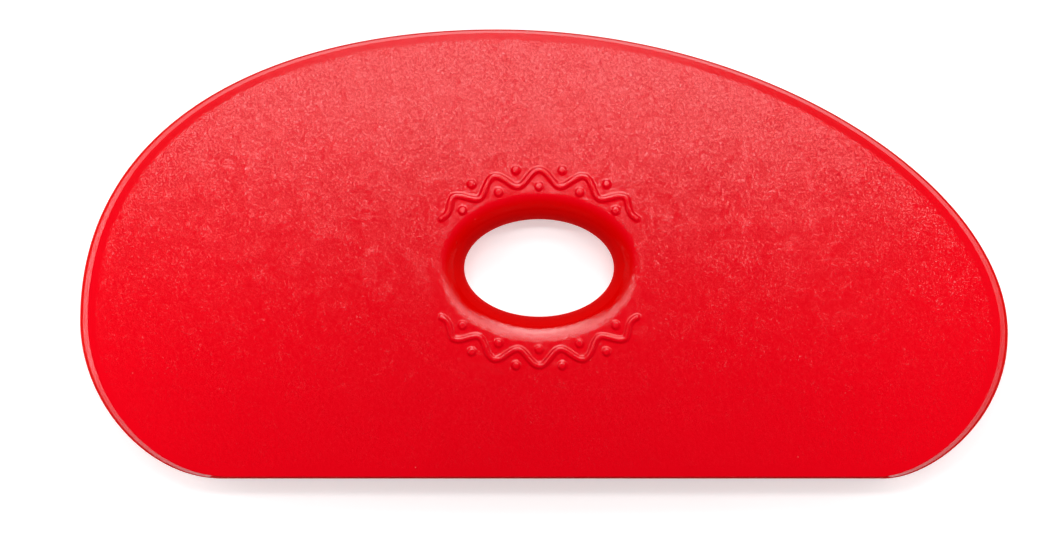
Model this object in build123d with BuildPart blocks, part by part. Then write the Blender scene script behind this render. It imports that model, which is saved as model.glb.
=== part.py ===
from build123d import *
import os

# Pottery rib: one soft casting with a long straight working edge, a curved back and a finger hole.
# It lies on its back face, with +Z up. X runs along the straight edge and +Y points to the curved
# back. The origin is under the middle of the outline's bounding box. Sizes are in millimetres.

# Overall size
rib_length = 104.9
rib_width = 50.8
rib_thickness = 6.0

# Outline: where the two ends, the crown of the back and the straight edge lie, from the middle
left_end_share = -0.148
right_end_share = -0.177
crown_share = -0.051
edge_start_share = -0.347
edge_end_share = 0.367

# Outline: how far the handles of each quarter reach from its first and last points to its corner
left_heel_shares = (0.538, 0.512)
left_shoulder_shares = (0.669, 0.559)
right_shoulder_shares = (0.539, 0.477)
right_heel_shares = (0.625, 0.356)

# Rim section: the crease round each face lies this far inside the outline
end_inset = 1.05
crown_inset = 0.49
edge_inset = 0.30

# Rim section, from the parting line up: height as a share of half the thickness, and the share of
# the insets drawn in by there. The drafted wall rounds over into a flat bevel up to the crease.
wall_level_shares = ((0, 0), (0.35, 0.08), (0.60, 0.15), (0.72, 0.24), (0.80, 0.42))

# Finger hole, with a lip that is round from face to face but for a land at the parting line
hole_length = 16.9
hole_width = 11.0
hole_x = -0.56
hole_y = -1.58
lip_land = 0.20

# Raised border above and below the hole: a running wave with a dot in each of its hollows
border_gap = 0.35
border_width = 2.9
border_relief = 0.20
border_half_angle = 57.0
wave_height = 2.3
wave_stroke = 0.60
half_wave = 2.4
dot_diameter = 0.90

mid_plane = rib_thickness / 2
lip_radius = (rib_thickness - lip_land) / 2
border_offset = lip_radius + border_gap + border_width / 2
wave_reach = (wave_height - wave_stroke) / 2
dot_reach = (border_width - dot_diameter) / 2


def quarter(start, end, corner, handle_shares):
    """Draw one quarter of the outline, whose two handles point at its corner."""
    start_share, end_share = handle_shares
    start_handle = Vector(*start) + (Vector(*corner) - Vector(*start)) * start_share
    end_handle = Vector(*end) + (Vector(*corner) - Vector(*end)) * end_share
    Bezier(start, start_handle, end_handle, end)


def outline(height_share, inset_share):
    """Sketch the outline at a share of the height from parting line to face."""
    left = -rib_length / 2 + end_inset * inset_share
    right = -left
    top = rib_width / 2 - crown_inset * inset_share
    bottom = -rib_width / 2 + edge_inset * inset_share
    edge_start = (edge_start_share * (right - left), bottom)
    edge_end = (edge_end_share * (right - left), bottom)
    left_end = (left, left_end_share * (top - bottom))
    right_end = (right, right_end_share * (top - bottom))
    crown = (crown_share * (right - left), top)
    with BuildSketch(Plane.XY.offset(mid_plane * (1 + height_share))) as level:
        with BuildLine():
            quarter(edge_start, left_end, (left, bottom), left_heel_shares)
            quarter(left_end, crown, (left, top), left_shoulder_shares)
            quarter(crown, right_end, (right, top), right_shoulder_shares)
            quarter(right_end, edge_end, (right, bottom), right_heel_shares)
            Line(edge_end, edge_start)
        make_face()
    return level.sketch


def beside(path, share, reach):
    """Give the point at a share of a path's length, that far to the left of the path."""
    tangent = path % share
    return path @ share + Vector(-tangent.Y, tangent.X) * reach


with BuildPart() as rib:
    # Upper half of the rim, from the parting line to the face
    wall_levels = [outline(*shares) for shares in wall_level_shares]
    loft(wall_levels)
    loft([wall_levels[-1], outline(1, 1)], ruled=True)

    # The lower half is its mirror image
    mirror(about=Plane.XY.offset(mid_plane))

    # Finger hole
    with BuildSketch(Plane.XY):
        with Locations((hole_x, hole_y)):
            Ellipse(hole_length / 2, hole_width / 2)
    extrude(amount=rib_thickness, mode=Mode.SUBTRACT)
    fillet(rib.edges().filter_by(GeomType.ELLIPSE), radius=lip_radius)

    # Raised border, above the hole and below it
    for middle_angle in (90, 270):
        with BuildSketch(Plane.XY.offset(rib_thickness)):
            with BuildLine():
                path = EllipticalCenterArc(
                    (hole_x, hole_y),
                    hole_length / 2 + border_offset,
                    hole_width / 2 + border_offset,
                    start_angle=middle_angle - border_half_angle,
                    arc_size=2 * border_half_angle,
                    mode=Mode.PRIVATE,
                )
                count = 2 * round(path.length / half_wave / 2)
                places = [(index / count, (-1) ** index) for index in range(1, count)]
                turns = [beside(path, share, wave_reach * side) for share, side in places]
                Spline(path @ 0, *turns, path @ 1)
            trace(line_width=wave_stroke)
            with Locations(*[beside(path, share, -dot_reach * side) for share, side in places]):
                Circle(dot_diameter / 2)
        extrude(amount=border_relief)

rib.part.label = "rib"

os.makedirs("parts", exist_ok=True)
export_step(rib.part, "parts/rib.step")
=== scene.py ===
import math

import bpy
from bpy.props import (
    FloatProperty,
    FloatVectorProperty,
    IntProperty,
    PointerProperty,
    StringProperty,
)
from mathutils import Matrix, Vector


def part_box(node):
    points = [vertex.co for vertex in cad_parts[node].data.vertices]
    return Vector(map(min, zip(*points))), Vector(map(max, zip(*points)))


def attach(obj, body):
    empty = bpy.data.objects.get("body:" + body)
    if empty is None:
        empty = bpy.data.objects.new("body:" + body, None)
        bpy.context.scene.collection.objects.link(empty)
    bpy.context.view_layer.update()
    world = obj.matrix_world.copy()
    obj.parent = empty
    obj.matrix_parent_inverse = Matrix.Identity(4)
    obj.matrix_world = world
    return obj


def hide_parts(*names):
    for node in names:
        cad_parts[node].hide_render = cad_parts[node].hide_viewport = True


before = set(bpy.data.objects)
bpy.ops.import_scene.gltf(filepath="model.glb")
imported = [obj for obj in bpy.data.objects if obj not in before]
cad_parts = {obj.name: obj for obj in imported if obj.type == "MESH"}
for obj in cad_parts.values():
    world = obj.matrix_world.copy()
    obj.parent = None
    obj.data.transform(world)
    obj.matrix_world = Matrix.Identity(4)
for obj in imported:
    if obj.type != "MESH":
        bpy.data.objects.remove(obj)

bl_info = {
    "name": "Pottery Rib",
    "version": (1, 0, 0),
    "blender": (4, 5, 0),
    "location": "3D View > Sidebar > Pottery Rib",
    "description": "Builds a soft cast pottery rib with a finger hole, and its photo table",
    "category": "Object",
}

MM = 0.001
RIB_LOW, RIB_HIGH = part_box("rib")
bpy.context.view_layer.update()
RELIEF = 0.2 * MM

# Outline: where the ends, the crown of the back and the straight edge lie, from the middle
LEFT_END_SHARE = -0.148
RIGHT_END_SHARE = -0.177
CROWN_SHARE = -0.051
EDGE_START_SHARE = -0.347
EDGE_END_SHARE = 0.367

# Outline: how far the handles reach to the corner of their quarter, first the end's, then the
# handle of the edge or of the crown, and how far those of the straight edge reach along it
LEFT_HEEL_SHARES = (0.512, 0.538)
LEFT_SHOULDER_SHARES = (0.669, 0.559)
RIGHT_SHOULDER_SHARES = (0.477, 0.539)
RIGHT_HEEL_SHARES = (0.625, 0.356)
STRAIGHT_SHARE = 1 / 3

# Rim section: share of the insets drawn in, and share of half the thickness. The wall runs from
# the parting line to its top, rounds over the corner, and the bevel goes on up to the crease.
WALL_TOP_SHARES = (0.160, 0.620)
SHOULDER_CORNER_SHARES = (0.186, 0.719)
BEVEL_FOOT_SHARES = (0.460, 0.814)

# What a ring of the section holds, in this order
RING_MEASURES = ("hole_offset", "rim_offset", "way_out", "inset_share", "height")

# Rings of the section: how many go round the lip and the shoulder, how far apart they are under
# the raised border, and where the others lie as shares of the open face, the margin, the bevel
# and the wall
LIP_STEPS = 14
SHOULDER_STEPS = 7
BAND_STEP = 0.11 * MM
FACE_SHARES = (0.06, 0.2, 0.4, 0.6, 0.8, 0.94)
MARGIN_SHARES = (2.8, 2.0, 1.5, 1.25, 1.0, 0.75, 0.5, 0.2)
BEVEL_SHARES = (0.05, 0.35, 0.7)
WALL_SHARES = (0.66, 0.33, 0.03, 0)

# A ring this close inside the crease keeps it crisp under smooth shading
SUPPORT = 0.03 * MM

# Points on a quarter of the outline, round the hole's waist, on the border's path and on its wave
OUTLINE_STEPS = 64
WAIST_STEPS = 720
PATH_STEPS = 256
WAVE_STEPS = 400

# Points closer than this are merged, where the last column meets the first
SEAM = 0.001 * MM

# The finish reads the open face as this far from crease and lip, up to this share of the way out
FAR = 10 * MM
OPEN_SHARE = 0.9

# Nearly all of a noise texture lies between these two values
NOISE_LOW, NOISE_HIGH = 0.3, 0.7

POLYURETHANE_IOR = 1.55

# Stage: the sensor's width in millimetres, the camera's nearest clip and the table's half width
SENSOR_WIDTH = 36
CLIP_START = 0.01
TABLE_REACH = 1.5

# Softboxes, which all face the middle of the rib: name, place, width, height and radiance
SOFTBOXES = (
    ("low edge strip", (0.0, 0.03, 0.085), 0.13, 0.008, 1.4),
    ("edge strip", (0.0, 0.062, 0.22), 0.16, 0.02, 1.4),
    ("far edge strip", (0.0, 0.08, 0.30), 0.24, 0.03, 9.0),
    ("near key", (0.0, 0.10, 0.16), 0.10, 0.03, 7.0),
    ("key", (0.0, 0.143, 0.12), 0.12, 0.03, 7.0),
    ("far key", (0.0, 0.16, 0.16), 0.12, 0.04, 6.0),
    ("bevel strip", (-0.15, 0.01, 0.0045), 0.14, 0.008, 6.5),
)

# Fill lights, which are left out of the gloss: name, place, width, height and radiance
FILLS = (
    ("left fill", (-0.14, -0.01, 0.11), 0.10, 0.06, 3.2),
    ("right fill", (0.14, -0.01, 0.11), 0.10, 0.06, 3.4),
    ("left end fill", (-0.078, -0.01, 0.045), 0.08, 0.02, 3.7),
    ("right end fill", (0.078, -0.01, 0.045), 0.08, 0.02, 3.1),
    ("front fill", (0.0, -0.12, 0.10), 0.16, 0.06, 0.9),
)


def linear(code):
    """Turn a six-digit sRGB hex code into linear red, green, blue and alpha."""
    values = []
    for place in range(0, 6, 2):
        level = int(code[place:place + 2], 16) / 255
        values.append(level / 12.92 if level <= 0.04045 else ((level + 0.055) / 1.055) ** 2.4)
    return (*values, 1.0)


def add(tree, kind, inputs=(), **settings):
    """Add a node with its settings, and set or link its inputs by name or number."""
    node = tree.nodes.new(kind)
    for name, value in settings.items():
        setattr(node, name, value)
    for key, value in dict(inputs).items():
        if isinstance(value, bpy.types.NodeSocket):
            tree.links.new(value, node.inputs[key])
        else:
            node.inputs[key].default_value = value
    return node


class RibShape(bpy.types.PropertyGroup):
    """Sizes of the casting."""

    length: FloatProperty(
        name="Length", description="Length of the outline", subtype="DISTANCE",
        default=RIB_HIGH.x - RIB_LOW.x)
    width: FloatProperty(
        name="Width", description="Width from the straight edge to the crown", subtype="DISTANCE",
        default=RIB_HIGH.y - RIB_LOW.y)
    relief: FloatProperty(
        name="Relief", description="Height of the raised border", subtype="DISTANCE",
        default=RELIEF)
    thickness: FloatProperty(
        name="Thickness", description="Thickness between the faces", subtype="DISTANCE",
        default=RIB_HIGH.z - RIB_LOW.z - RELIEF)
    hole_length: FloatProperty(
        name="Hole length", description="Length of the hole at its waist", subtype="DISTANCE",
        default=16.9 * MM)
    hole_width: FloatProperty(
        name="Hole width", description="Width of the hole at its waist", subtype="DISTANCE",
        default=11.0 * MM)
    hole_centre: FloatVectorProperty(
        name="Hole centre", description="Middle of the hole", subtype="TRANSLATION",
        default=(-0.56 * MM, -1.58 * MM, 0.0))
    lip_land: FloatProperty(
        name="Lip land", description="Straight part of the lip at the waist", subtype="DISTANCE",
        default=0.2 * MM)
    end_inset: FloatProperty(
        name="End inset", description="From the outline in to the crease, at the ends",
        subtype="DISTANCE", default=1.05 * MM)
    crown_inset: FloatProperty(
        name="Crown inset", description="From the outline in to the crease, at the crown",
        subtype="DISTANCE", default=0.49 * MM)
    edge_inset: FloatProperty(
        name="Edge inset", description="From the outline in to the crease, at the straight edge",
        subtype="DISTANCE", default=0.30 * MM)
    margin: FloatProperty(
        name="Margin", description="Width of the smooth margin inside the crease",
        subtype="DISTANCE", default=0.8 * MM)
    border_gap: FloatProperty(
        name="Border gap", description="Flat between the lip and the raised border",
        subtype="DISTANCE", default=0.35 * MM)
    border_width: FloatProperty(
        name="Border width", description="Width of the raised border", subtype="DISTANCE",
        default=2.9 * MM)
    border_half_angle: FloatProperty(
        name="Border half angle", description="How far the border reaches round the hole",
        subtype="ANGLE", default=math.radians(57))
    wave_height: FloatProperty(
        name="Wave height", description="Height of the wave across the border",
        subtype="DISTANCE", default=2.3 * MM)
    wave_stroke: FloatProperty(
        name="Wave stroke", description="Width of the wave's line", subtype="DISTANCE",
        default=0.6 * MM)
    half_waves: IntProperty(
        name="Half waves", description="Half waves along each border", default=10)
    dot_diameter: FloatProperty(
        name="Dot diameter", description="Diameter of the dots in the wave's hollows",
        subtype="DISTANCE", default=0.9 * MM)
    relief_draft: FloatProperty(
        name="Relief draft", description="Width of the soft slope at the side of each mark",
        subtype="DISTANCE", default=0.22 * MM)
    columns: IntProperty(
        name="Columns", description="Faces round the casting", default=780)


def lip_radius(shape):
    """Give the radius of the hole's round lip."""
    return (shape.thickness - shape.lip_land) / 2


def outline_curve(shape):
    """Make the outline as a closed curve of five points, from the right end round by the crown."""
    left, right = -shape.length / 2, shape.length / 2
    bottom, top = -shape.width / 2, shape.width / 2
    right_end = Vector((right, RIGHT_END_SHARE * shape.width, 0))
    crown = Vector((CROWN_SHARE * shape.length, top, 0))
    left_end = Vector((left, LEFT_END_SHARE * shape.width, 0))
    edge_start = Vector((EDGE_START_SHARE * shape.length, bottom, 0))
    edge_end = Vector((EDGE_END_SHARE * shape.length, bottom, 0))
    top_right = Vector((right, top, 0))
    top_left = Vector((left, top, 0))
    bottom_left = Vector((left, bottom, 0))
    bottom_right = Vector((right, bottom, 0))

    # Each point has the aim and share of the handle before it, and of the one after it
    route = (
        (right_end, bottom_right, RIGHT_HEEL_SHARES[0], top_right, RIGHT_SHOULDER_SHARES[0]),
        (crown, top_right, RIGHT_SHOULDER_SHARES[1], top_left, LEFT_SHOULDER_SHARES[1]),
        (left_end, top_left, LEFT_SHOULDER_SHARES[0], bottom_left, LEFT_HEEL_SHARES[0]),
        (edge_start, bottom_left, LEFT_HEEL_SHARES[1], edge_end, STRAIGHT_SHARE),
        (edge_end, edge_start, STRAIGHT_SHARE, bottom_right, RIGHT_HEEL_SHARES[1]),
    )
    data = bpy.data.curves.new("rib_outline", "CURVE")
    data.dimensions = "3D"
    data.resolution_u = OUTLINE_STEPS
    spline = data.splines.new("BEZIER")
    spline.bezier_points.add(len(route) - 1)
    spline.use_cyclic_u = True
    for point, stop in zip(spline.bezier_points, route):
        place, before, before_share, after, after_share = stop
        point.handle_left_type = point.handle_right_type = "FREE"
        point.co = place
        point.handle_left = place.lerp(before, before_share)
        point.handle_right = place.lerp(after, after_share)
    return bpy.data.objects.new("rib_outline", data)


def half_section(shape, band_step):
    """List one half's rings from the waist of the hole to the parting line of the rim.

    Each ring says how far it lies off the hole's waist, how far inside the crease, which share
    of the way from hole to rim it has gone, which share of the insets it is drawn in by, and
    its height above the middle of the thickness.
    """
    half = shape.thickness / 2
    radius = lip_radius(shape)
    band_end = radius + shape.border_gap + shape.border_width + 2 * shape.relief_draft
    inner = shape.margin * MARGIN_SHARES[0]
    rings = [(0, inner, 0, 1, 0)]

    # Round lip of the hole
    for step in range(LIP_STEPS + 1):
        turn = math.pi / 2 * step / LIP_STEPS
        offset = radius * (1 - math.cos(turn))
        rings.append((offset, inner, 0, 1, shape.lip_land / 2 + radius * math.sin(turn)))

    # Band of the raised border, in narrow rings so that the relief has its shape
    band_steps = max(1, round((band_end - radius) / band_step))
    for step in range(1, band_steps + 1):
        rings.append((radius + (band_end - radius) * step / band_steps, inner, 0, 1, half))

    # Open face, out to the margin
    for share in FACE_SHARES:
        rings.append((band_end, inner, share, 1, half))

    # Margin, up to the crease
    for share in MARGIN_SHARES:
        rings.append((band_end, shape.margin * share, 1, 1, half))
    rings.append((band_end, SUPPORT, 1, 1, half))
    rings.append((band_end, 0, 1, 1, half))

    # Bevel, rounded shoulder and drafted wall
    crease = Vector((1, 1))
    foot = Vector(BEVEL_FOOT_SHARES)
    corner = Vector(SHOULDER_CORNER_SHARES)
    top = Vector(WALL_TOP_SHARES)
    rim = [crease.lerp(foot, share) for share in BEVEL_SHARES]
    for step in range(SHOULDER_STEPS + 1):
        share = step / SHOULDER_STEPS
        rim.append(foot.lerp(corner, share).lerp(corner.lerp(top, share), share))
    rim += [top * share for share in WALL_SHARES]
    rings += [(band_end, 0, 1, inset, height * half) for inset, height in rim]
    return rings


def section_mesh(shape):
    """Make a mesh of one vertex for each ring, whose attributes hold the ring's measures."""
    middle = shape.thickness / 2
    upper = half_section(shape, band_step=BAND_STEP)
    lower = half_section(shape, band_step=shape.border_width)
    rings = [(*ring[:4], middle + ring[4]) for ring in upper]
    rings += [(*ring[:4], middle - ring[4]) for ring in reversed(lower[:-1])]
    mesh = bpy.data.meshes.new("rib_section")
    mesh.from_pydata([(0, 0, ring[4]) for ring in rings], [], [])
    for place, name in enumerate(RING_MEASURES):
        attribute = mesh.attributes.new(name, "FLOAT", "POINT")
        attribute.data.foreach_set("value", [ring[place] for ring in rings])
    return bpy.data.objects.new("rib_section", mesh)


def new_tree(name, inputs):
    """Start a geometry tree with named inputs, each given as its name and its kind."""
    tree = bpy.data.node_groups.new(name, "GeometryNodeTree")
    tree.interface.new_socket("Geometry", in_out="INPUT", socket_type="NodeSocketGeometry")
    for label, kind in inputs:
        tree.interface.new_socket(label, in_out="INPUT", socket_type="NodeSocket" + kind)
    tree.interface.new_socket("Geometry", in_out="OUTPUT", socket_type="NodeSocketGeometry")
    return tree, add(tree, "NodeGroupInput").outputs


def border_tree():
    """Build the tree of the raised border's middle lines: a wave and the dots in its hollows."""
    tree, given = new_tree("Rib border", (
        ("Path size", "Vector"), ("Centre", "Vector"), ("Half angle", "Float"),
        ("Half waves", "Int"), ("Wave reach", "Float"), ("Dot reach", "Float")))
    sweep = add(tree, "ShaderNodeMath", {0: given["Half angle"], 1: 2.0}, operation="MULTIPLY")
    start = add(tree, "ShaderNodeMath", {
        0: math.pi / 2, 1: given["Half angle"]}, operation="SUBTRACT")
    arc = add(tree, "GeometryNodeCurveArc", {
        "Resolution": PATH_STEPS, "Radius": 1.0, "Start Angle": start.outputs[0],
        "Sweep Angle": sweep.outputs[0]}, mode="RADIUS")
    path = add(tree, "GeometryNodeTransform", {
        "Geometry": arc.outputs["Curve"], "Scale": given["Path size"]})

    # The wave swings from side to side of the path, and runs out on it at both ends
    share = add(tree, "GeometryNodeSplineParameter").outputs["Factor"]
    turns = add(tree, "ShaderNodeMath", {0: share, 1: given["Half waves"]}, operation="MULTIPLY")
    angle = add(tree, "ShaderNodeMath", {0: turns.outputs[0], 1: math.pi}, operation="MULTIPLY")
    swing = add(tree, "ShaderNodeMath", {0: angle.outputs[0]}, operation="COSINE")
    rest = add(tree, "ShaderNodeMath", {
        0: given["Half waves"], 1: turns.outputs[0]}, operation="SUBTRACT")
    nearest = add(tree, "ShaderNodeMath", {
        0: turns.outputs[0], 1: rest.outputs[0]}, operation="MINIMUM")
    fade = add(tree, "ShaderNodeMath", {
        0: nearest.outputs[0], 1: 1.0}, operation="MULTIPLY", use_clamp=True)
    faded = add(tree, "ShaderNodeMath", {
        0: swing.outputs[0], 1: fade.outputs[0]}, operation="MULTIPLY")
    reach = add(tree, "ShaderNodeMath", {
        0: faded.outputs[0], 1: given["Wave reach"]}, operation="MULTIPLY")
    tangent = add(tree, "GeometryNodeInputTangent").outputs[0]
    across = add(tree, "ShaderNodeVectorMath", {
        0: (0, 0, 1), 1: tangent}, operation="CROSS_PRODUCT")
    shift = add(tree, "ShaderNodeVectorMath", {
        0: across.outputs[0], "Scale": reach.outputs[0]}, operation="SCALE")
    fine = add(tree, "GeometryNodeResampleCurve", {
        "Curve": path.outputs[0], "Count": WAVE_STEPS})
    wave = add(tree, "GeometryNodeSetPosition", {
        "Geometry": fine.outputs[0], "Offset": shift.outputs[0]})
    wave_line = add(tree, "GeometryNodeCurveToMesh", {"Curve": wave.outputs[0]})

    # The dots stand at the wave's turns, on the other side of the path
    count = add(tree, "ShaderNodeMath", {0: given["Half waves"], 1: 1.0}, operation="ADD")
    coarse = add(tree, "GeometryNodeResampleCurve", {
        "Curve": path.outputs[0], "Count": count.outputs[0]})
    dot_shift = add(tree, "ShaderNodeMath", {
        0: swing.outputs[0], 1: given["Dot reach"]}, operation="MULTIPLY")
    dot_away = add(tree, "ShaderNodeMath", {0: dot_shift.outputs[0], 1: -1.0}, operation="MULTIPLY")
    dot_offset = add(tree, "ShaderNodeVectorMath", {
        0: across.outputs[0], "Scale": dot_away.outputs[0]}, operation="SCALE")
    dots = add(tree, "GeometryNodeSetPosition", {
        "Geometry": coarse.outputs[0], "Offset": dot_offset.outputs[0]})
    at_end = add(tree, "GeometryNodeCurveEndpointSelection", {"Start Size": 1, "End Size": 1})
    inner_dots = add(tree, "GeometryNodeDeleteGeometry", {
        "Geometry": dots.outputs[0], "Selection": at_end.outputs[0]}, domain="POINT")
    dot_points = add(tree, "GeometryNodeCurveToPoints", {
        "Curve": inner_dots.outputs[0]}, mode="EVALUATED")

    # Both lie above the hole, and again below it turned by half a turn
    upper = add(tree, "GeometryNodeJoinGeometry")
    tree.links.new(wave_line.outputs[0], upper.inputs[0])
    tree.links.new(dot_points.outputs[0], upper.inputs[0])
    lower = add(tree, "GeometryNodeTransform", {
        "Geometry": upper.outputs[0], "Rotation": (0, 0, math.pi)})
    both = add(tree, "GeometryNodeJoinGeometry")
    tree.links.new(upper.outputs[0], both.inputs[0])
    tree.links.new(lower.outputs[0], both.inputs[0])
    placed = add(tree, "GeometryNodeTransform", {
        "Geometry": both.outputs[0], "Translation": given["Centre"]})
    add(tree, "NodeGroupOutput", {"Geometry": placed.outputs[0]})
    return tree


def casting_tree(border):
    """Build the tree that lays the section's rings between the hole and the outline curve."""
    tree, given = new_tree("Rib casting", (
        ("Section", "Object"), ("Columns", "Int"), ("Hole size", "Vector"), ("Hole centre", "Vector"),
        ("Crease scale", "Vector"), ("Crease shift", "Vector"), ("Lip radius", "Float"),
        ("Path size", "Vector"), ("Face height", "Float"), ("Half angle", "Float"),
        ("Half waves", "Int"), ("Wave reach", "Float"), ("Dot reach", "Float"),
        ("Wave stroke", "Float"), ("Dot diameter", "Float"), ("Relief", "Float"),
        ("Relief draft", "Float"), ("Bevel width", "Float"), ("Throat edge", "Float"),
        ("Trim and shade rise", "Float"), ("Material", "Material"), ("Trim and shade material", "Material")))

    # A unit grid, whose X says how far round the rib and whose Y says which ring
    section = add(tree, "GeometryNodeObjectInfo", {"Object": given["Section"]}).outputs["Geometry"]
    rings = add(tree, "GeometryNodeAttributeDomainSize", {"Geometry": section}, component="MESH")
    last_ring = add(tree, "ShaderNodeMath", {
        0: rings.outputs["Point Count"], 1: 1.0}, operation="SUBTRACT")
    across = add(tree, "ShaderNodeMath", {0: given["Columns"], 1: 1.0}, operation="ADD")
    grid = add(tree, "GeometryNodeMeshGrid", {
        "Size X": 1.0, "Size Y": 1.0, "Vertices X": across.outputs[0],
        "Vertices Y": rings.outputs["Point Count"]})
    place = add(tree, "ShaderNodeVectorMath", {
        0: add(tree, "GeometryNodeInputPosition").outputs[0], 1: (0.5, 0.5, 0.0)}, operation="ADD")
    unit = add(tree, "ShaderNodeSeparateXYZ", {0: place.outputs[0]})
    ring = add(tree, "ShaderNodeMath", {
        0: unit.outputs["Y"], 1: last_ring.outputs[0]}, operation="MULTIPLY")
    ring_number = add(tree, "FunctionNodeFloatToInt", {0: ring.outputs[0]}, rounding_mode="ROUND")
    measures = {}
    for name in RING_MEASURES:
        stored = add(tree, "GeometryNodeInputNamedAttribute", {"Name": name}, data_type="FLOAT")
        sample = add(tree, "GeometryNodeSampleIndex", {
            "Geometry": section, "Value": stored.outputs["Attribute"],
            "Index": ring_number.outputs[0]}, data_type="FLOAT", domain="POINT")
        measures[name] = sample.outputs[0]

    # Places off the hole's waist
    circle = add(tree, "GeometryNodeCurvePrimitiveCircle", {
        "Resolution": WAIST_STEPS, "Radius": 1.0}, mode="RADIUS")
    waist = add(tree, "GeometryNodeTransform", {
        "Geometry": circle.outputs["Curve"], "Translation": given["Hole centre"],
        "Scale": given["Hole size"]})
    at_hole = add(tree, "GeometryNodeSampleCurve", {
        "Curves": waist.outputs[0], "Factor": unit.outputs["X"]}, mode="FACTOR")
    hole_normal = add(tree, "ShaderNodeVectorMath", {
        0: at_hole.outputs["Tangent"], 1: (0, 0, 1)}, operation="CROSS_PRODUCT")
    hole_shift = add(tree, "ShaderNodeVectorMath", {
        0: hole_normal.outputs[0], "Scale": measures["hole_offset"]}, operation="SCALE")
    hole_place = add(tree, "ShaderNodeVectorMath", {
        0: at_hole.outputs["Position"], 1: hole_shift.outputs[0]}, operation="ADD")

    # Places inside the outline: drawn in towards the crease, then straight in from it
    at_rim = add(tree, "GeometryNodeSampleCurve", {
        "Curves": given["Geometry"], "Factor": unit.outputs["X"]}, mode="FACTOR")
    creased = add(tree, "ShaderNodeVectorMath", {
        0: at_rim.outputs["Position"], 1: given["Crease scale"], 2: given["Crease shift"]},
        operation="MULTIPLY_ADD")
    drawn_in = add(tree, "ShaderNodeMix", {
        "Factor": measures["inset_share"], 4: at_rim.outputs["Position"], 5: creased.outputs[0]},
        data_type="VECTOR", clamp_factor=False)
    rim_normal = add(tree, "ShaderNodeVectorMath", {
        0: (0, 0, 1), 1: at_rim.outputs["Tangent"]}, operation="CROSS_PRODUCT")
    rim_shift = add(tree, "ShaderNodeVectorMath", {
        0: rim_normal.outputs[0], "Scale": measures["rim_offset"]}, operation="SCALE")
    rim_place = add(tree, "ShaderNodeVectorMath", {
        0: drawn_in.outputs[1], 1: rim_shift.outputs[0]}, operation="ADD")
    plan = add(tree, "ShaderNodeMix", {
        "Factor": measures["way_out"], 4: hole_place.outputs[0], 5: rim_place.outputs[0]},
        data_type="VECTOR")
    plan_parts = add(tree, "ShaderNodeSeparateXYZ", {0: plan.outputs[1]})
    target = add(tree, "ShaderNodeCombineXYZ", {
        "X": plan_parts.outputs["X"], "Y": plan_parts.outputs["Y"], "Z": measures["height"]})

    # Distances that the finish reads: inside the crease, and outside the lip of the hole. Outside
    # the crease the whole inset counts as one millimetre, however wide it is.
    on_face = add(tree, "ShaderNodeMapRange", {
        "Value": measures["way_out"], "From Min": 1.0, "From Max": OPEN_SHARE, "To Max": FAR})
    bevelled = add(tree, "ShaderNodeMath", {
        0: 1.0, 1: measures["inset_share"]}, operation="SUBTRACT")
    down_bevel = add(tree, "ShaderNodeMath", {0: bevelled.outputs[0], 1: MM}, operation="MULTIPLY")
    inside = add(tree, "ShaderNodeMath", {
        0: measures["rim_offset"], 1: down_bevel.outputs[0]}, operation="SUBTRACT")
    from_rim = add(tree, "ShaderNodeMath", {
        0: inside.outputs[0], 1: on_face.outputs[0]}, operation="ADD")
    past_lip = add(tree, "ShaderNodeMath", {
        0: measures["hole_offset"], 1: given["Lip radius"]}, operation="SUBTRACT")
    far_out = add(tree, "ShaderNodeMath", {0: measures["way_out"], 1: FAR}, operation="MULTIPLY")
    from_lip = add(tree, "ShaderNodeMath", {
        0: past_lip.outputs[0], 1: far_out.outputs[0]}, operation="ADD")
    with_rim = add(tree, "GeometryNodeStoreNamedAttribute", {
        "Geometry": grid.outputs["Mesh"], "Name": "from_rim", "Value": from_rim.outputs[0]},
        data_type="FLOAT", domain="POINT")
    with_lip = add(tree, "GeometryNodeStoreNamedAttribute", {
        "Geometry": with_rim.outputs[0], "Name": "from_lip", "Value": from_lip.outputs[0]},
        data_type="FLOAT", domain="POINT")
    laid = add(tree, "GeometryNodeSetPosition", {
        "Geometry": with_lip.outputs[0], "Position": target.outputs[0]})
    closed = add(tree, "GeometryNodeMergeByDistance", {
        "Geometry": laid.outputs[0], "Distance": SEAM})

    # Raised border: the face swells where it is near the border's middle lines
    border_centre = add(tree, "ShaderNodeCombineXYZ", {"Z": given["Face height"]})
    border_place = add(tree, "ShaderNodeVectorMath", {
        0: given["Hole centre"], 1: border_centre.outputs[0]}, operation="ADD")
    lines = add(tree, "GeometryNodeGroup", node_tree=border)
    links = {
        "Path size": given["Path size"], "Centre": border_place.outputs[0],
        "Half angle": given["Half angle"], "Half waves": given["Half waves"],
        "Wave reach": given["Wave reach"], "Dot reach": given["Dot reach"]}
    for label, socket in links.items():
        tree.links.new(socket, lines.inputs[label])
    dots = add(tree, "GeometryNodeSeparateComponents", {0: lines.outputs[0]}).outputs["Point Cloud"]
    half_draft = add(tree, "ShaderNodeMath", {
        0: given["Relief draft"], 1: 0.5}, operation="MULTIPLY").outputs[0]
    rises = []
    for element, source, size in (("EDGES", lines.outputs[0], "Wave stroke"),
                                  ("POINTS", dots, "Dot diameter")):
        near = add(tree, "GeometryNodeProximity", {0: source}, target_element=element)
        radius = add(tree, "ShaderNodeMath", {0: given[size], 1: 0.5}, operation="MULTIPLY")
        high = add(tree, "ShaderNodeMath", {
            0: radius.outputs[0], 1: half_draft}, operation="SUBTRACT")
        low = add(tree, "ShaderNodeMath", {0: radius.outputs[0], 1: half_draft}, operation="ADD")
        rise = add(tree, "ShaderNodeMapRange", {
            "Value": near.outputs["Distance"], "From Min": low.outputs[0],
            "From Max": high.outputs[0]}, interpolation_type="SMOOTHSTEP")
        rises.append(rise.outputs[0])
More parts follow.
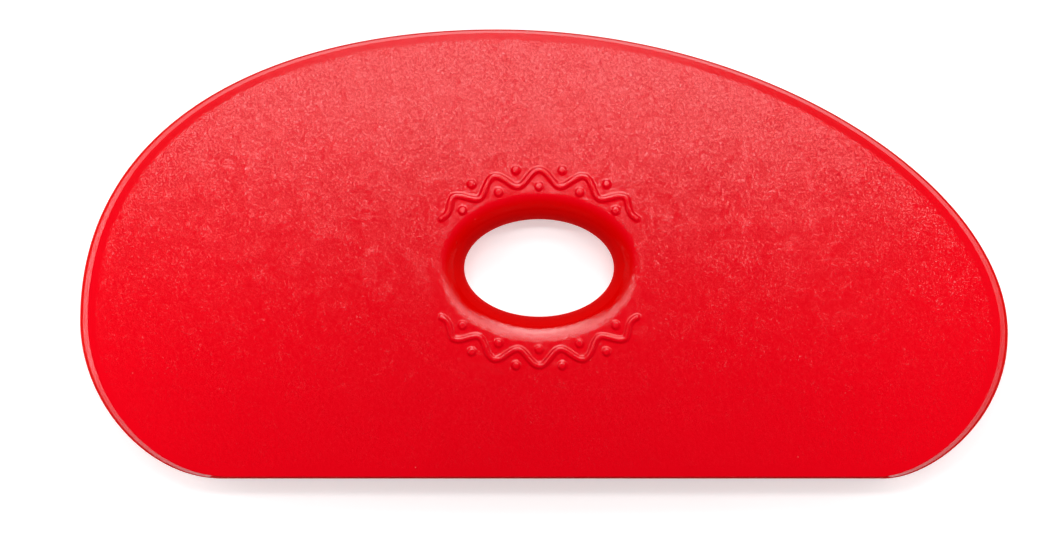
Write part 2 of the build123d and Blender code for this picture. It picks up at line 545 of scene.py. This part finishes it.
    swell = add(tree, "ShaderNodeMath", {0: rises[0], 1: rises[1]}, operation="MAXIMUM")
    height = add(tree, "ShaderNodeMath", {
        0: swell.outputs[0], 1: given["Relief"]}, operation="MULTIPLY")
    lift = add(tree, "ShaderNodeCombineXYZ", {"Z": height.outputs[0]})
    raised = add(tree, "GeometryNodeSetPosition", {
        "Geometry": closed.outputs[0], "Offset": lift.outputs[0]})

    # Trimmed faces, which are matt and carry a painted shade for the shade that falls on them:
    # outside the bevel, deep in the throat, and wherever the section is steep
    beyonds = []
    for name, edge in (("from_rim", "Bevel width"), ("from_lip", "Throat edge")):
        distance = add(tree, "GeometryNodeInputNamedAttribute", {"Name": name}, data_type="FLOAT")
        past_edge = add(tree, "ShaderNodeMath", {
            0: distance.outputs["Attribute"], 1: given[edge]}, operation="ADD")
        beyond = add(tree, "ShaderNodeMath", {
            0: past_edge.outputs[0], 1: 0.0}, operation="LESS_THAN")
        beyonds.append(beyond.outputs[0])
    past_either = add(tree, "ShaderNodeMath", {
        0: beyonds[0], 1: beyonds[1]}, operation="MAXIMUM")
    face_normal = add(tree, "GeometryNodeInputNormal").outputs[0]
    facing = add(tree, "ShaderNodeSeparateXYZ", {0: face_normal})
    level = add(tree, "ShaderNodeMath", {0: facing.outputs["Z"]}, operation="ABSOLUTE")
    steep = add(tree, "ShaderNodeMath", {
        0: level.outputs[0], 1: given["Trim and shade rise"]}, operation="LESS_THAN")
    trimmed = add(tree, "ShaderNodeMath", {
        0: past_either.outputs[0], 1: steep.outputs[0]}, operation="MAXIMUM")

    smooth = add(tree, "GeometryNodeSetShadeSmooth", {
        "Geometry": raised.outputs[0], "Shade Smooth": True})
    real = add(tree, "GeometryNodeRealizeInstances", {"Geometry": smooth.outputs[0]})
    cast = add(tree, "GeometryNodeSetMaterial", {
        "Geometry": real.outputs[0], "Material": given["Material"]})
    # The trimmed faces take the matt material, whose darker colour is painted shade
    finished = add(tree, "GeometryNodeSetMaterial", {
        "Geometry": cast.outputs[0], "Selection": trimmed.outputs[0],
        "Material": given["Trim and shade material"]})
    add(tree, "NodeGroupOutput", {"Geometry": finished.outputs[0]})
    return tree


def set_inputs(modifier, values):
    """Set a geometry modifier's inputs, which it keeps by identifier, from their names."""
    for item in modifier.node_group.interface.items_tree:
        if item.item_type == "SOCKET" and item.in_out == "INPUT" and item.name in values:
            modifier[item.identifier] = values[item.name]


def new_material(name):
    """Start an empty material."""
    material = bpy.data.materials.new(name)
    material.use_nodes = True
    material.node_tree.nodes.clear()
    return material, material.node_tree


def cast_polyurethane(shape, finish):
    """Red pigmented polyurethane, poured into a mould and left to cure.

    The mould's blasted floor gives the faces and the bevel a fine satin grain, which spreads the
    light of a lamp. It is worn smooth in the margin round each face and down in the hole's lip,
    which look redder for it.
    """
    material, tree = new_material("cast polyurethane")
    place = add(tree, "ShaderNodeTexCoord").outputs["Object"]
    from_rim = add(tree, "ShaderNodeAttribute", attribute_name="from_rim").outputs["Fac"]
    from_lip = add(tree, "ShaderNodeAttribute", attribute_name="from_lip").outputs["Fac"]

    # Parts of the section: the face starts along an uneven line inside the crease, the bevel lies
    # just outside the crease, and the lip of the hole goes down from the face
    wander = add(tree, "ShaderNodeTexNoise", {
        "Vector": place, "Scale": 1 / finish.wander_length, "Detail": 4.0}).outputs["Fac"]
    wandered = add(tree, "ShaderNodeMath", {
        0: wander, 1: finish.wander_reach, 2: from_rim}, operation="MULTIPLY_ADD").outputs[0]
    face_start = shape.margin + finish.wander_reach / 2
    on_face = add(tree, "ShaderNodeMapRange", {
        "Value": wandered, "From Min": face_start - finish.margin_blend / 2,
        "From Max": face_start + finish.margin_blend / 2, "To Min": finish.margin_grain,
        "To Max": 1.0}, interpolation_type="SMOOTHSTEP").outputs[0]
    on_bevel = add(tree, "ShaderNodeMapRange", {
        "Value": from_rim, "From Min": 0.0, "From Max": -finish.bevel_blend}).outputs[0]
    outside = add(tree, "ShaderNodeMath", {0: on_face, 1: on_bevel}, operation="MAXIMUM").outputs[0]
    above_lip = add(tree, "ShaderNodeMapRange", {
        "Value": from_lip, "From Min": -finish.lip_edge - finish.lip_blend,
        "From Max": -finish.lip_edge}, interpolation_type="SMOOTHSTEP").outputs[0]
    satin = add(tree, "ShaderNodeMath", {0: outside, 1: above_lip}, operation="MULTIPLY").outputs[0]

    # The grain is deeper in some places than in others
    patches = add(tree, "ShaderNodeTexNoise", {
        "Vector": place, "Scale": 1 / finish.patch_length, "Detail": 2.0}).outputs["Fac"]
    strength = add(tree, "ShaderNodeMapRange", {
        "Value": patches, "From Min": NOISE_LOW, "From Max": NOISE_HIGH,
        "To Min": 1 - finish.patch_swing, "To Max": 1 + finish.patch_swing}).outputs[0]
    amount = add(tree, "ShaderNodeMath", {0: satin, 1: strength}, operation="MULTIPLY").outputs[0]

    # The grain is small facets, which lean to all sides and sparkle one by one, on low bumps that
    # are drawn coarser than they are
    grain = add(tree, "ShaderNodeTexNoise", {
        "Vector": place, "Scale": 1 / finish.grain_length, "Detail": 0.0}).outputs["Fac"]
    height = add(tree, "ShaderNodeMath", {0: grain, 1: finish.grain_depth}, operation="MULTIPLY")
    bumps = add(tree, "ShaderNodeMath", {0: height.outputs[0], 1: amount}, operation="MULTIPLY")
    relief = add(tree, "ShaderNodeBump", {"Height": bumps.outputs[0], "Distance": 1.0})
    facets = add(tree, "ShaderNodeTexVoronoi", {
        "Vector": place, "Scale": 1 / finish.facet_length}, feature="F1")
    lean = add(tree, "ShaderNodeVectorMath", {
        0: facets.outputs["Color"], 1: (0.5, 0.5, 0.5)}, operation="SUBTRACT")
    lean_size = add(tree, "ShaderNodeMath", {0: amount, 1: finish.facet_lean}, operation="MULTIPLY")
    leaning = add(tree, "ShaderNodeVectorMath", {
        0: lean.outputs[0], "Scale": lean_size.outputs[0]}, operation="SCALE")
    tilted = add(tree, "ShaderNodeVectorMath", {
        0: relief.outputs[0], 1: leaning.outputs[0]}, operation="ADD")
    normal = add(tree, "ShaderNodeVectorMath", {0: tilted.outputs[0]}, operation="NORMALIZE")
    roughness = add(tree, "ShaderNodeMapRange", {
        "Value": amount, "To Min": finish.smooth_roughness, "To Max": finish.roughness}).outputs[0]

    # Pigment that didn't stir in evenly, a painted shade that darkens the hole's lip down into its
    # throat, and the odd speck of dust from the mould
    cloud = add(tree, "ShaderNodeTexNoise", {
        "Vector": place, "Scale": 1 / finish.cloud_length, "Detail": 2.0}).outputs["Fac"]
    pigment = add(tree, "ShaderNodeMix", {
        "Factor": cloud, "A": linear(finish.deep_colour), "B": linear(finish.colour)},
        data_type="RGBA")
    above_throat_shade = add(tree, "ShaderNodeMapRange", {
        "Value": from_lip, "From Min": -finish.throat_shade_blend, "From Max": 0.0},
        interpolation_type="SMOOTHSTEP").outputs[0]
    body = add(tree, "ShaderNodeMix", {
        "Factor": above_throat_shade, "A": linear(finish.painted_shade_colour), "B": pigment.outputs["Result"]},
        data_type="RGBA")
    speck = add(tree, "ShaderNodeTexVoronoi", {
        "Vector": place, "Scale": 1 / finish.speck_spacing}, feature="F1")
    speck_size = finish.speck_radius / finish.speck_spacing
    near = add(tree, "ShaderNodeMapRange", {
        "Value": speck.outputs["Distance"], "From Min": speck_size,
        "From Max": finish.speck_core * speck_size, "To Max": finish.speck_strength}).outputs[0]
    dusted = add(tree, "ShaderNodeMix", {
        "Factor": near, "A": body.outputs["Result"], "B": linear(finish.speck_colour)},
        data_type="RGBA")

    shader = add(tree, "ShaderNodeBsdfPrincipled", {
        "Base Color": dusted.outputs["Result"], "Roughness": roughness,
        "IOR": POLYURETHANE_IOR, "Normal": normal.outputs[0]})
    add(tree, "ShaderNodeOutputMaterial", {"Surface": shader.outputs[0]})
    return material


def trimmed_shaded_polyurethane(finish):
    """The same polyurethane where a blade has taken off the flash, on the rim and in the throat.

    The cut is matt. Its colour is a painted shade, darker than the moulded skin, for the shade
    that falls on the rim's steep wall and down in the throat.
    """
    material, tree = new_material("trimmed shaded polyurethane")
    shader = add(tree, "ShaderNodeBsdfPrincipled", {
        "Base Color": linear(finish.painted_shade_colour), "Roughness": finish.trim_roughness,
        "IOR": POLYURETHANE_IOR, "Specular IOR Level": finish.trim_gloss})
    add(tree, "ShaderNodeOutputMaterial", {"Surface": shader.outputs[0]})
    return material


def white_card(stage):
    """Matt white card, which the camera, gloss and clear pieces see as lit from inside as well.

    It comes out plain white round the rib and still takes the soft shadow under its edge.
    """
    material, tree = new_material("matt white card")
    card = add(tree, "ShaderNodeBsdfDiffuse", {"Color": linear(stage.card_colour)})
    glow = add(tree, "ShaderNodeEmission", {"Strength": stage.card_glow})
    both = add(tree, "ShaderNodeAddShader", {0: card.outputs[0], 1: glow.outputs[0]})
    rays = add(tree, "ShaderNodeLightPath")
    seen = add(tree, "ShaderNodeMath", {
        0: rays.outputs["Is Camera Ray"], 1: rays.outputs["Is Glossy Ray"]}, operation="MAXIMUM")
    shown = add(tree, "ShaderNodeMath", {
        0: seen.outputs[0], 1: rays.outputs["Is Transmission Ray"]}, operation="MAXIMUM")
    mixed = add(tree, "ShaderNodeMixShader", {
        0: shown.outputs[0], 1: card.outputs[0], 2: both.outputs[0]})
    add(tree, "ShaderNodeOutputMaterial", {"Surface": mixed.outputs[0]})
    return material


class RibFinish(bpy.types.PropertyGroup):
    """Finish of the casting."""

    colour: StringProperty(
        name="Colour", description="sRGB hex code of the polyurethane", default="E00013")
    deep_colour: StringProperty(
        name="Deep colour", description="sRGB hex code where the pigment is denser", default="D90011")
    # Painted shade: the throat and the rim's steep wall get this darker red for the shade that falls
    # there
    painted_shade_colour: StringProperty(
        name="Throat colour", description="sRGB hex code of the throat and the rim's wall",
        default="D20000")
    speck_colour: StringProperty(
        name="Speck colour", description="sRGB hex code of a speck of dust", default="F08078")
    roughness: FloatProperty(
        name="Roughness", description="Roughness of the grained skin", default=0.13,
        min=0, max=1)
    smooth_roughness: FloatProperty(
        name="Smooth roughness", description="Roughness of the skin where it has no grain",
        default=0.15, min=0, max=1)
    trim_roughness: FloatProperty(
        name="Trim roughness", description="Roughness of the trimmed faces", default=0.85,
        min=0, max=1)
    trim_gloss: FloatProperty(
        name="Trim gloss", description="Specular level of the trimmed faces", default=0.06,
        min=0, max=1)
    # Faces steeper than this take the trimmed material, matt and with the painted shade of the wall
    trim_and_shade_rise: FloatProperty(
        name="Trim and shade rise", description="Steepness from which a face is trimmed",
        subtype="ANGLE", default=math.radians(69))
    grain_length: FloatProperty(
        name="Grain length", description="Size of one bump of the grain as drawn",
        subtype="DISTANCE", default=0.14 * MM)
    grain_depth: FloatProperty(
        name="Grain depth", description="Height of the grain", subtype="DISTANCE",
        default=0.002 * MM)
    facet_length: FloatProperty(
        name="Facet length", description="Size of the single facets", subtype="DISTANCE",
        default=0.05 * MM)
    facet_lean: FloatProperty(
        name="Facet lean", description="How far the facets lean, as a slope", default=0.22,
        min=0, max=1)
    patch_length: FloatProperty(
        name="Patch length", description="Size of the patches of deeper grain",
        subtype="DISTANCE", default=1.6 * MM)
    patch_swing: FloatProperty(
        name="Patch swing", description="Share by which a patch's grain differs from the mean",
        default=0.12, min=0, max=1)
    wander_length: FloatProperty(
        name="Wander length", description="Length of a swing of the face's edge",
        subtype="DISTANCE", default=3 * MM)
    wander_reach: FloatProperty(
        name="Wander reach", description="Width that the face's edge wanders over",
        subtype="DISTANCE", default=0.3 * MM)
    margin_grain: FloatProperty(
        name="Margin grain", description="Share of the grain that the margin keeps", default=0.35,
        min=0, max=1)
    margin_blend: FloatProperty(
        name="Margin blend", description="Width over which the margin's grain deepens to the face's",
        subtype="DISTANCE", default=0.4 * MM)
    bevel_width: FloatProperty(
        name="Bevel width", description="Width of the grained bevel, for an inset of one millimetre",
        subtype="DISTANCE", default=0.5 * MM)
    bevel_blend: FloatProperty(
        name="Bevel blend", description="Width over which the bevel's grain starts at the crease",
        subtype="DISTANCE", default=0.08 * MM)
    throat_edge: FloatProperty(
        name="Throat edge", description="Where the trimmed throat starts, in from the lip's edge",
        subtype="DISTANCE", default=1.9 * MM)
    # Painted shade: over this width the lip darkens to the shade colour of the throat
    throat_shade_blend: FloatProperty(
        name="Throat blend", description="Width over which the lip takes the throat's colour",
        subtype="DISTANCE", default=1.2 * MM)
    lip_edge: FloatProperty(
        name="Lip edge", description="Where the lip's grain is still full, in from its outer edge",
        subtype="DISTANCE", default=1.35 * MM)
    lip_blend: FloatProperty(
        name="Lip blend", description="Width over which the lip's grain runs out",
        subtype="DISTANCE", default=0.4 * MM)
    cloud_length: FloatProperty(
        name="Cloud length", description="Size of the clouds of pigment", subtype="DISTANCE",
        default=14 * MM)
    speck_spacing: FloatProperty(
        name="Speck spacing", description="Spacing of the specks of dust", subtype="DISTANCE",
        default=2.8 * MM)
    speck_radius: FloatProperty(
        name="Speck radius", description="Radius of a speck of dust", subtype="DISTANCE",
        default=0.09 * MM)
    speck_core: FloatProperty(
        name="Speck core", description="Share of a speck's radius that is full", default=0.4,
        min=0, max=1)
    speck_strength: FloatProperty(
        name="Speck strength", description="Share of a speck's own colour in its core",
        default=0.5, min=0, max=1)


class RibStage(bpy.types.PropertyGroup):
    """Camera and light of the photo table."""

    view_width: FloatProperty(
        name="View width", description="Width that the picture covers at the rib",
        subtype="DISTANCE", default=118.2 * MM)
    camera_height: FloatProperty(
        name="Camera height", description="Height of the lens above the table",
        subtype="DISTANCE", default=0.8)
    camera_x: FloatProperty(
        name="Camera X", description="Where the lens points, along the rib", subtype="DISTANCE",
        default=-2.43 * MM)
    camera_y: FloatProperty(
        name="Camera Y", description="Where the lens points, across the rib", subtype="DISTANCE",
        default=-2.72 * MM)
    card_colour: StringProperty(
        name="Card colour", description="sRGB hex code of the card under the rib", default="F7F7F7")
    card_glow: FloatProperty(
        name="Card glow", description="Light that the card adds where it is seen", default=0.36)
    ambient: FloatProperty(
        name="Ambient", description="Strength of the light from all round", default=0.0)


class OBJECT_OT_rib_casting(bpy.types.Operator):
    """Build the rib's casting between its outline and its finger hole."""

    bl_idname = "object.rib_casting"
    bl_label = "Rib Casting"

    def execute(self, context):
        shape = context.scene.rib_shape
        finish = context.scene.rib_finish
        outline = outline_curve(shape)
        section = section_mesh(shape)
        for guide in (outline, section):
            context.scene.collection.objects.link(guide)
        modifier = outline.modifiers.new("Casting", "NODES")
        modifier.node_group = casting_tree(border_tree())
        offset = lip_radius(shape) + shape.border_gap + shape.border_width / 2
        hole_size = Vector((shape.hole_length / 2, shape.hole_width / 2, 1))
        set_inputs(modifier, {
            "Section": section,
            "Columns": shape.columns,
            "Hole size": hole_size,
            "Hole centre": shape.hole_centre,
            "Crease scale": (1 - 2 * shape.end_inset / shape.length,
                             1 - (shape.crown_inset + shape.edge_inset) / shape.width, 1),
            "Crease shift": (0, (shape.edge_inset - shape.crown_inset) / 2, 0),
            "Lip radius": lip_radius(shape),
            "Path size": hole_size + Vector((offset, offset, 0)),
            "Face height": shape.thickness,
            "Half angle": shape.border_half_angle,
            "Half waves": shape.half_waves,
            "Wave reach": (shape.wave_height - shape.wave_stroke) / 2,
            "Dot reach": (shape.border_width - shape.dot_diameter) / 2,
            "Wave stroke": shape.wave_stroke,
            "Dot diameter": shape.dot_diameter,
            "Relief": shape.relief,
            "Relief draft": shape.relief_draft,
            "Bevel width": finish.bevel_width,
            "Throat edge": finish.throat_edge,
            "Trim and shade rise": math.cos(finish.trim_and_shade_rise),
            "Material": cast_polyurethane(shape, finish),
            "Trim and shade material": trimmed_shaded_polyurethane(finish),
        })
        graph = context.evaluated_depsgraph_get()
        mesh = bpy.data.meshes.new_from_object(outline.evaluated_get(graph))
        casting = bpy.data.objects.new("casting", mesh)
        context.scene.collection.objects.link(casting)
        for guide in (outline, section):
            bpy.data.objects.remove(guide)
        if not mesh.polygons:
            raise RuntimeError("the casting's tree made no faces")
        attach(casting, "root")
        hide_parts("rib")
        return {"FINISHED"}


class OBJECT_OT_rib_stage(bpy.types.Operator):
    """Lay the white table and set the camera and the lamps."""

    bl_idname = "object.rib_stage"
    bl_label = "Rib Stage"

    def execute(self, context):
        scene = context.scene
        stage = scene.rib_stage
        middle = scene.rib_shape.thickness / 2
        lens = bpy.data.cameras.new("camera")
        lens.sensor_width = SENSOR_WIDTH
        lens.lens = lens.sensor_width * (stage.camera_height - middle) / stage.view_width
        lens.clip_start = CLIP_START
        camera = bpy.data.objects.new("camera", lens)
        camera.location = (stage.camera_x, stage.camera_y, stage.camera_height)
        scene.collection.objects.link(camera)
        scene.camera = camera

        corners = [(-TABLE_REACH, -TABLE_REACH, 0), (TABLE_REACH, -TABLE_REACH, 0),
                   (TABLE_REACH, TABLE_REACH, 0), (-TABLE_REACH, TABLE_REACH, 0)]
        mesh = bpy.data.meshes.new("table")
        mesh.from_pydata(corners, [], [(0, 1, 2, 3)])
        table = bpy.data.objects.new("table", mesh)
        table.location.z = RIB_LOW.z
        scene.collection.objects.link(table)
        mesh.materials.append(white_card(stage))

        for lamps, in_gloss in ((SOFTBOXES, True), (FILLS, False)):
            for name, place, width, height, radiance in lamps:
                data = bpy.data.lights.new(name, "AREA")
                data.shape = "RECTANGLE"
                data.size = width
                data.size_y = height
                data.energy = radiance * math.pi * width * height
                lamp = bpy.data.objects.new(name, data)
                lamp.location = place
                lamp.rotation_euler = (-Vector(place)).to_track_quat("-Z", "Y").to_euler()
                lamp.visible_camera = False
                lamp.visible_glossy = in_gloss
                scene.collection.objects.link(lamp)

        world = bpy.data.worlds.new("studio")
        scene.world = world
        world.use_nodes = True
        background = world.node_tree.nodes["Background"]
        background.inputs["Color"].default_value = (1, 1, 1, 1)
        background.inputs["Strength"].default_value = stage.ambient
        scene.view_settings.view_transform = "Standard"
        return {"FINISHED"}


class VIEW3D_PT_pottery_rib(bpy.types.Panel):
    """Panel of the rib's sizes, finish and stage."""

    bl_label = "Pottery Rib"
    bl_idname = "VIEW3D_PT_pottery_rib"
    bl_space_type = "VIEW_3D"
    bl_region_type = "UI"
    bl_category = "Pottery Rib"

    def draw(self, context):
        for group in (context.scene.rib_shape, context.scene.rib_finish, context.scene.rib_stage):
            box = self.layout.box()
            for name in group.__annotations__:
                box.prop(group, name)
        self.layout.operator("object.rib_casting")
        self.layout.operator("object.rib_stage")


CLASSES = (
    RibShape,
    RibFinish,
    RibStage,
    OBJECT_OT_rib_casting,
    OBJECT_OT_rib_stage,
    VIEW3D_PT_pottery_rib,
)


def register():
    """Register the classes and hang the settings on the scene."""
    for item in CLASSES:
        bpy.utils.register_class(item)
    bpy.types.Scene.rib_shape = PointerProperty(type=RibShape)
    bpy.types.Scene.rib_finish = PointerProperty(type=RibFinish)
    bpy.types.Scene.rib_stage = PointerProperty(type=RibStage)


def unregister():
    """Take the settings off the scene and unregister the classes."""
    del bpy.types.Scene.rib_stage
    del bpy.types.Scene.rib_finish
    del bpy.types.Scene.rib_shape
    for item in reversed(CLASSES):
        bpy.utils.unregister_class(item)


def main():
    """Build the rib and its stage."""
    register()
    bpy.ops.object.rib_casting()
    bpy.ops.object.rib_stage()


if __name__ == "__main__":
    main()
